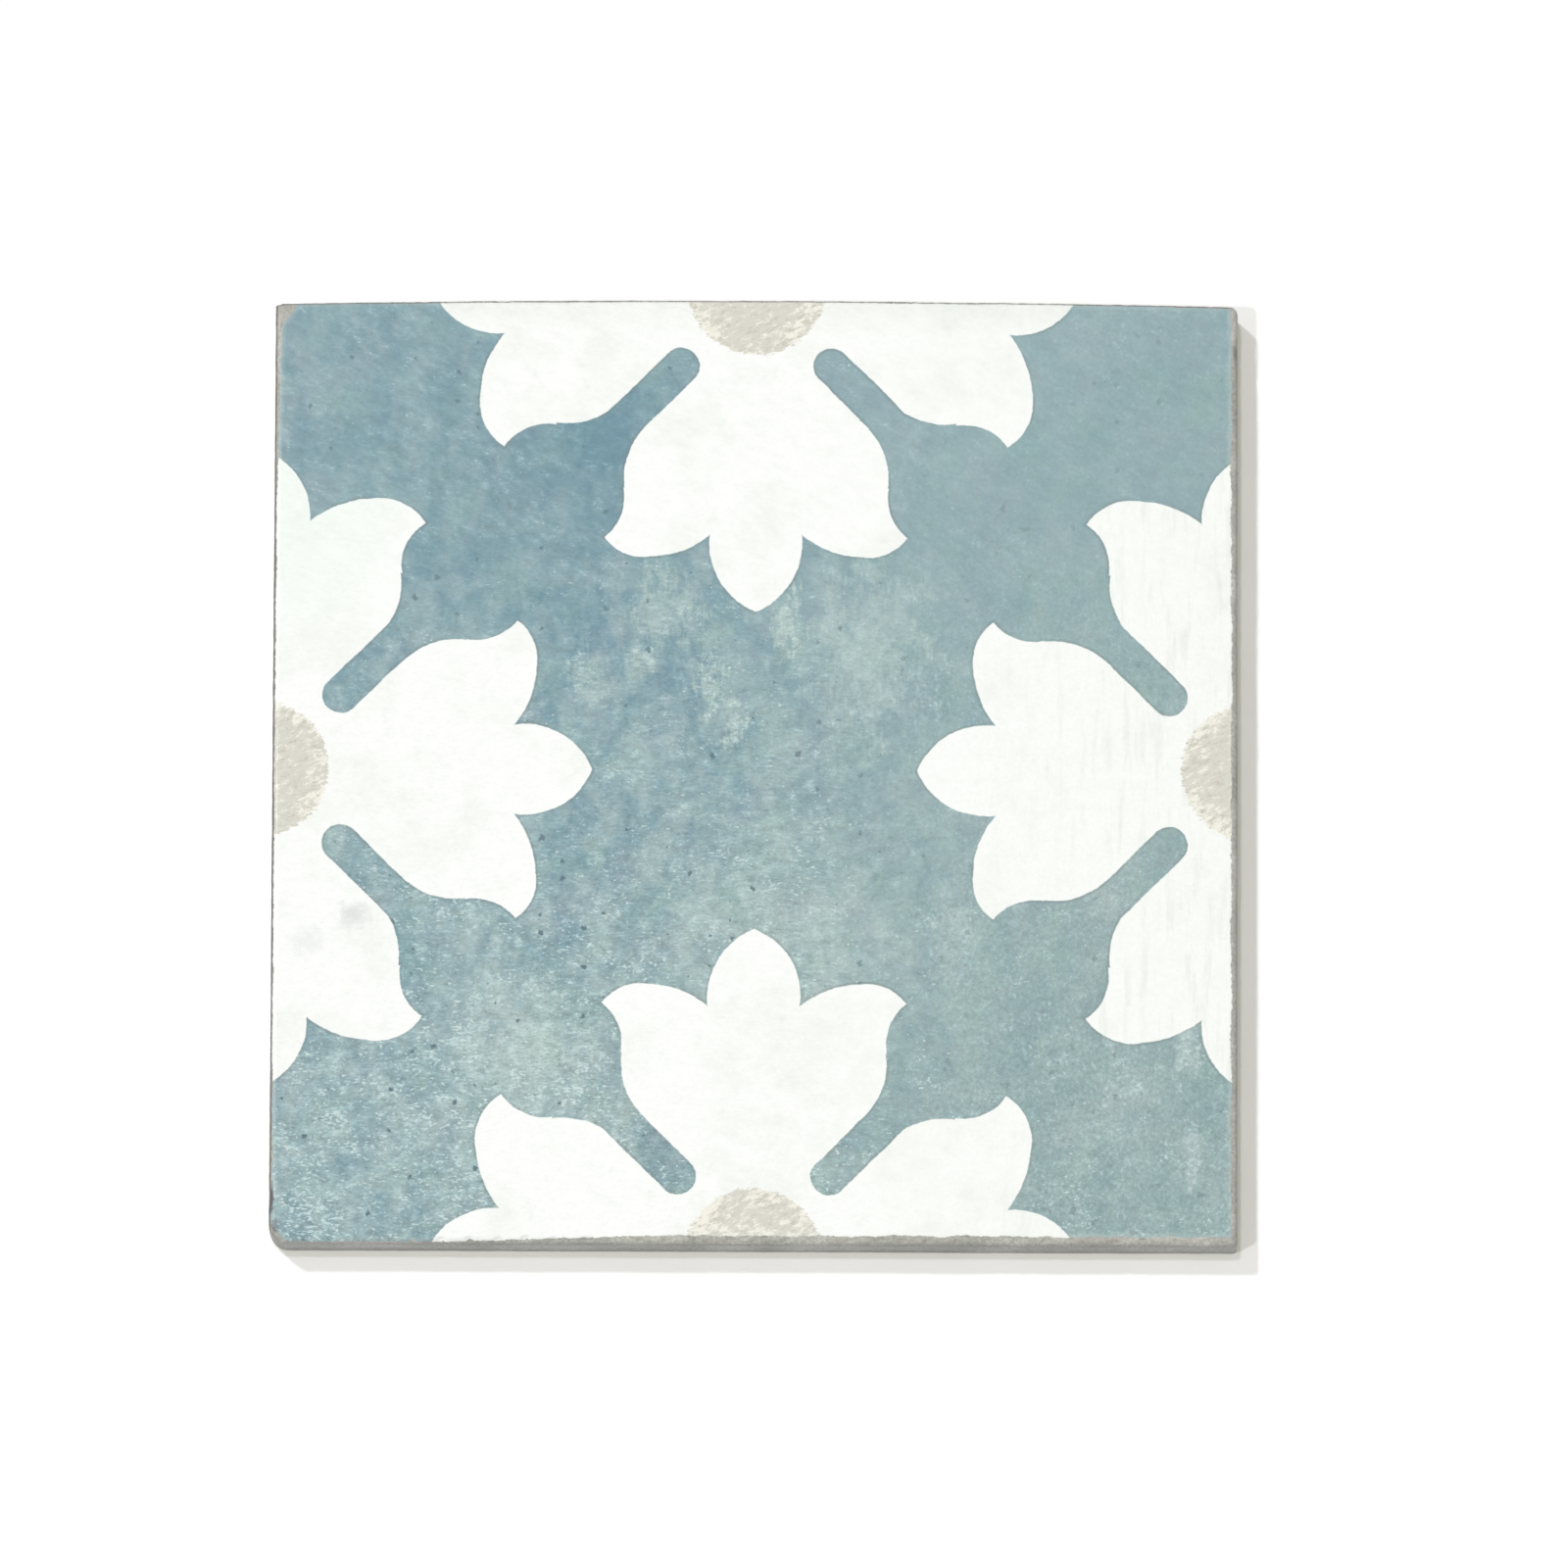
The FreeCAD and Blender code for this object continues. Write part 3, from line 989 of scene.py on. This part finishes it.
def new_material(name):
    """Make a material with an empty tree, a shader and its output."""
    material = bpy.data.materials.new(name)
    material.use_nodes = True
    material.node_tree.nodes.clear()
    bench = Bench(material.node_tree, "ShaderNodeBsdfPrincipled")
    bench.node("ShaderNodeOutputMaterial", {"Surface": bench.ending.outputs["BSDF"]})
    return material, bench


def tile_position(bench):
    """Give the place on the tile in mm, in the tile's own frame."""
    place = bench.node("ShaderNodeTexCoord").outputs["Object"]
    return bench.vector("MULTIPLY", place, (1 / MM, 1 / MM, 1 / MM))


def relief(bench, height, strength, depth):
    """Turn a height into a normal; depth is in mm."""
    given = {"Strength": strength, "Distance": depth * MM, "Height": height}
    return bench.node("ShaderNodeBump", given).outputs["Normal"]


# how far the mottle lightens and darkens the blue
MOTTLE_DEPTH = 1.75
# glints are painted on its crests: where they start, how light they grow, and the least of it
CREST_START = 0.045
CREST_LIGHT = 4.0
LEAST_SPARKLE = 0.34


def blue_ground(bench, groups, position, grain):
    """Lay the blue ground: clouded wash, milky patches, mottle, painted glints and specks."""
    wash = bench.group(groups["wash"], Position=position)
    grainy = bench.times(wash["Milk"], bench.slope(grain["Mottle"], -0.08, 0.10, 0.55, 1.0))
    across = bench.parts(position)["X"]
    milk = bench.blend(bench.slope(across, 10.0, 60.0), MILKY_GREEN, MILKY_BLUE)
    milky = bench.blend(grainy, wash["Color"], milk)
    swing = bench.times(grain["Mottle"], bench.math("SQRT", grain["Strength"]))
    mottled = bench.shaded(milky, bench.times_plus(swing, MOTTLE_DEPTH, 1.0))
    sparkle = bench.most(
        bench.math("POWER", grain["Strength"], 1.5), bench.times(wash["Milk"], 1.6), LEAST_SPARKLE)
    crest_glint = bench.times(
        bench.most(bench.minus(grain["Mottle"], CREST_START), 0.0),
        bench.times(sparkle, grain["Glint Cluster"]))
    # painted glints on the crests of the mottle and in light flecks
    crest_glinted = bench.blend(crest_glint, mottled, PAINTED_GLINT, CREST_LIGHT)
    fleck_glinted = bench.blend(grain["Glint Flecks"], crest_glinted, PAINTED_GLINT, 0.78)
    return bench.blend(grain["Specks"], fleck_glinted, SPECK_BLUE, 0.92)


# grey smudges on a petal: middle in mm, and how strong they are
SMUDGES = (((-82.6, -31.0), 0.72), ((-92.6, -36.6), 0.36))
SMUDGE_HALF_WIDTHS = (3.57, 3.12)


def white_print(bench, position, grain):
    """Lay the white of the petals, with a faint shade and fine mottle."""
    x, y = bench.parts(position)[:2]
    cloud = bench.step(bench.clouds(bench.moved(position, 11, 40), 18.0, 4.0, 0.65), 0.46, 0.70)
    smudge = bench.step(bench.clouds(position, 3.4, 4.0, 0.65), 0.54, 0.80)
    right = bench.slope(x, -20.0, 80.0, 0.0, 0.16)
    # on the right faint streaks run down the petals
    drawn = bench.clouds(bench.stretched(bench.moved(position, 4, 2), 2.2, 18.0), 1.0, 3.0, 0.6)
    streak = bench.times(bench.step(drawn, 0.48, 0.70), bench.slope(x, 40.0, 75.0, 0.0, 0.5))
    far = bench.slope(y, 92.0, 98.0, 0.0, 0.40)
    share = bench.add(bench.times(cloud, 0.40), bench.times(smudge, 0.38), right, streak, far)
    white = bench.blend(share, WHITE_GLAZE, WHITE_SHADE)
    # the petals at the far end of the left side are a little green
    greenish = bench.step(bench.away_from(position, (-97.0, 52.0)), 34.0, 8.0, 0.62)
    white = bench.blend(greenish, white, WHITE_GREEN)
    # two grey smudges on the front one of the left-hand petals
    torn = bench.times(bench.swirls(bench.moved(position, 2, 9), 2.2, 4.0, 0.7), 2.4)
    for middle, strength in SMUDGES:
        wiped = bench.add(bench.oval(position, middle, SMUDGE_HALF_WIDTHS), torn)
        white = bench.blend(bench.step(wiped, 1.35, 0.1, strength), white, SMUDGE_GREY)
    return bench.shaded(white, bench.times_plus(grain["Mottle"], 0.26, 0.998))


def disc_print(bench, position, rim):
    """Lay the grey of the discs, with dark strokes and light strokes of painted sheen that slant
    up.
    """
    along = bench.parts(position)["Y"]
    drawn = bench.stretched(bench.leaning(bench.moved(position, 7, 3), -24), 1.7, 0.8)
    strokes = bench.clouds(drawn, 1.05, 3.0, 0.75)
    dark = bench.blend(bench.step(strokes, 0.48, 0.30, 0.8), DISC_GREY, DISC_SHADE)
    # painted sheen is strongest on the near disc along the side
    side_sheen = bench.slope(along, -93.0, -99.0, 0.0, 0.10)
    # and all of them carry painted sheen in patches near their rim
    patchy = bench.clouds(bench.moved(position, 31, 12), 7.0, 2.0)
    wear_and_sheen = bench.times(rim, bench.slope(patchy, 0.38, 0.58, 0.0, 0.16))
    # painted sheen: light strokes, stronger along the side and near the rims
    lit = bench.step(bench.add(strokes, side_sheen, wear_and_sheen), 0.54, 0.68, 0.92)
    return bench.blend(lit, dark, DISC_PAINTED_SHEEN)


def printed_glaze(groups):
    """Material of the face: print under a satin glaze that ends at the arris."""
    material, bench = new_material("printed_glaze")
    position = tile_position(bench)
    fine = bench.group(groups["drift"], Position=position, Reach=0.07, Wave=0.9)
    drifted = bench.group(groups["drift"], Position=fine["Position"], Reach=0.14, Wave=6.0)
    flower = bench.group(groups["flower"], Position=drifted["Position"])
    grain = bench.group(groups["grain"], Position=position)
    edge = bench.group(groups["edge"], Position=position)
    # the bare body on the arris is painted a little lighter, as painted light
    body = bench.group(groups["body"], Position=position, Tone=1.06, Dust=0.0)
    ground = blue_ground(bench, groups, position, grain)
    faint = bench.step(bench.clouds(bench.moved(position, 60, 9), 14.0, 2.0), 0.34, 0.58, 0.38)
    rimmed = bench.blend(flower["Rim"], ground, RIM_SHADE, faint)
    petals = bench.blend(flower["Petals"], rimmed, white_print(bench, position, grain))
    discs = disc_print(bench, position, flower["Disc Rim"])
    printed = bench.blend(flower["Discs"], petals, discs)
    # glaze thins to a pale milky line before it ends, and a shadow is painted under its lip
    thinned = bench.blend(edge["Thin"], printed, WHITE_SHADE, 0.16)
    lip_shadowed = bench.blend(edge["Lip Shadow"], body["Color"], DARK_LINE_AND_SHADOW, 0.26)
    edged = bench.blend(edge["Bare"], thinned, lip_shadowed)
    # painted shade along the left and far edges
    edge_shaded = bench.blend(edge["Line"], edged, PAINTED_EDGE_SHADE, 0.85)
    bench.put("Base Color", bench.blend(edge["Soot"], edge_shaded, SOOT, 0.9))
    glazed = bench.minus(1.0, edge["Bare"])
    gloss = bench.slope(grain["Mottle"], -0.15, 0.15, 0.50, 0.38)
    bench.put("Roughness", bench.add(
        bench.times(gloss, glazed), bench.times(body["Roughness"], edge["Bare"])))
    glaze_height = bench.add(
        bench.times(grain["Mottle"], grain["Strength"], 0.6),
        bench.times(grain["Glint Flecks"], 0.2), 0.6)
    height = bench.add(
        bench.times(glaze_height, glazed),
        bench.times(body["Height"], 0.4, edge["Bare"]))
    bench.put("Normal", relief(bench, height, strength=0.5, depth=0.14))
    return material


def pressed_body(groups):
    """Material of the sides and the back: bare fired body."""
    material, bench = new_material("pressed_body")
    position = tile_position(bench)
    # the sides and back are painted lighter, as painted light where the lamps leave them dim
    body = bench.group(groups["body"], Position=position, Tone=1.10, Dust=0.75)
    bench.put("Base Color", body["Color"])
    bench.put("Roughness", body["Roughness"])
    bench.put("Normal", relief(bench, body["Height"], strength=0.6, depth=0.12))
    return material


# The stage

CAMERA_TILT = math.radians(12.0)
CAMERA_ROLL = math.radians(0.22)
CAMERA_DISTANCE = 5600.0
SENSOR_WIDTH = 36.0
# how far the camera sees, in metres
SIGHT = 20.0
# the picture is 1593 x 1600, and its long side spans this much of the tile's plane
PICTURE_SPAN = 1600 / 4.925
# the point that the middle of the picture shows
AIM = Vector((5.3, -0.8, 0.0))


def make_camera():
    """Look down on the tile, leaning a little to the front side."""
    data = bpy.data.cameras.new("camera")
    data.sensor_width = SENSOR_WIDTH
    data.lens = SENSOR_WIDTH * CAMERA_DISTANCE / PICTURE_SPAN
    data.clip_end = SIGHT
    camera = add_object("camera", data)
    lean = Matrix.Rotation(CAMERA_TILT, 4, "X")
    roll = Matrix.Rotation(CAMERA_ROLL, 4, "Z")
    place = Matrix.Translation((AIM + lean @ Vector((0, 0, CAMERA_DISTANCE))) * MM)
    camera.matrix_world = place @ lean @ roll
    bpy.context.scene.camera = camera


# lamps: where the shadow of a point 1 mm up falls, share of the light, blur in degrees
LAMPS = (
    ("left_lamp", (0.46, 0.25), 0.21, 3.0),
    ("corner_lamp", (0.50, -0.47), 0.28, 3.5),
    ("top_lamp", (0.10, -0.13), 0.18, 3.0),
)
SKY_LIGHT = 0.33
# half width of the floor and how far it lies under the tile, both in metres
FLOOR_HALF = 3.0
FLOOR_DROP = 0.02 * MM
FLOOR_COLOUR = (0.83, 0.845, 0.91, 1.0)
# what the floor adds where it is pictured, so that it is white outside the shadows
FLOOR_GLOW = (1.0, 0.92, 0.58, 1.0)
FLOOR_GLOW_STRENGTH = 0.205


def make_lamps():
    """Set up soft distant lamps that throw the shadows right and down."""
    for name, (across, along), share, blur in LAMPS:
        data = bpy.data.lights.new(name, "SUN")
        fall = Vector((across, along, -1.0)).normalized()
        data.energy = share * math.pi / -fall.z
        data.angle = math.radians(blur)
        lamp = add_object(name, data)
        lamp.location = -fall
        lamp.rotation_mode = "QUATERNION"
        lamp.rotation_quaternion = fall.to_track_quat("-Z", "Y")
        if name == "top_lamp":
            lamp.visible_glossy = False


def sees_backdrop(bench):
    """Give 1 for rays that picture the backdrop: from the camera, mirrored or through."""
    path = bench.node("ShaderNodeLightPath").outputs
    return bench.most(path["Is Camera Ray"], path["Is Glossy Ray"], path["Is Transmission Ray"])


def make_sky():
    """Light the tile evenly from all round, and picture white behind it."""
    world = bpy.data.worlds.new("studio")
    world.use_nodes = True
    world.node_tree.nodes.clear()
    bench = Bench(world.node_tree, "ShaderNodeBackground")
    bench.put("Color", (1.0, 1.0, 1.0, 1.0))
    bench.put("Strength", bench.slope(sees_backdrop(bench), 0.0, 1.0, SKY_LIGHT, 1.0))
    bench.node("ShaderNodeOutputWorld", {"Surface": bench.ending.outputs["Background"]})
    bpy.context.scene.world = world


def make_floor():
    """Lay a plain white floor that pictures as white and keeps the tile's shadow."""
    data = bpy.data.meshes.new("floor")
    signs = ((-1, -1), (1, -1), (1, 1), (-1, 1))
    corners = [(across * FLOOR_HALF, along * FLOOR_HALF, -FLOOR_DROP) for across, along in signs]
    data.from_pydata(corners, [], [(0, 1, 2, 3)])
    floor = add_object("floor", data)
    material, bench = new_material("white_floor")
    bench.put("Base Color", FLOOR_COLOUR)
    bench.put("Roughness", 0.9)
    bench.put("Specular IOR Level", 0.0)
    bench.put("Emission Color", FLOOR_GLOW)
    bench.put("Emission Strength", bench.times(sees_backdrop(bench), FLOOR_GLOW_STRENGTH))
    data.materials.append(material)


def main():
    tile = build_tile()
    drift = make_hand_drift()
    groups = {
        "drift": drift,
        "flower": make_flower_print(),
        "wash": make_blue_wash(),
        "grain": make_screen_grain(drift),
        "edge": make_bare_edge(),
        "body": make_fired_body(),
    }
    tile.data.materials.append(printed_glaze(groups))
    tile.data.materials.append(pressed_body(groups))
    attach(tile, "root")
    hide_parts(TILE)
    make_floor()
    make_sky()
    make_lamps()
    make_camera()
    bpy.context.scene.view_settings.view_transform = "Standard"


main()
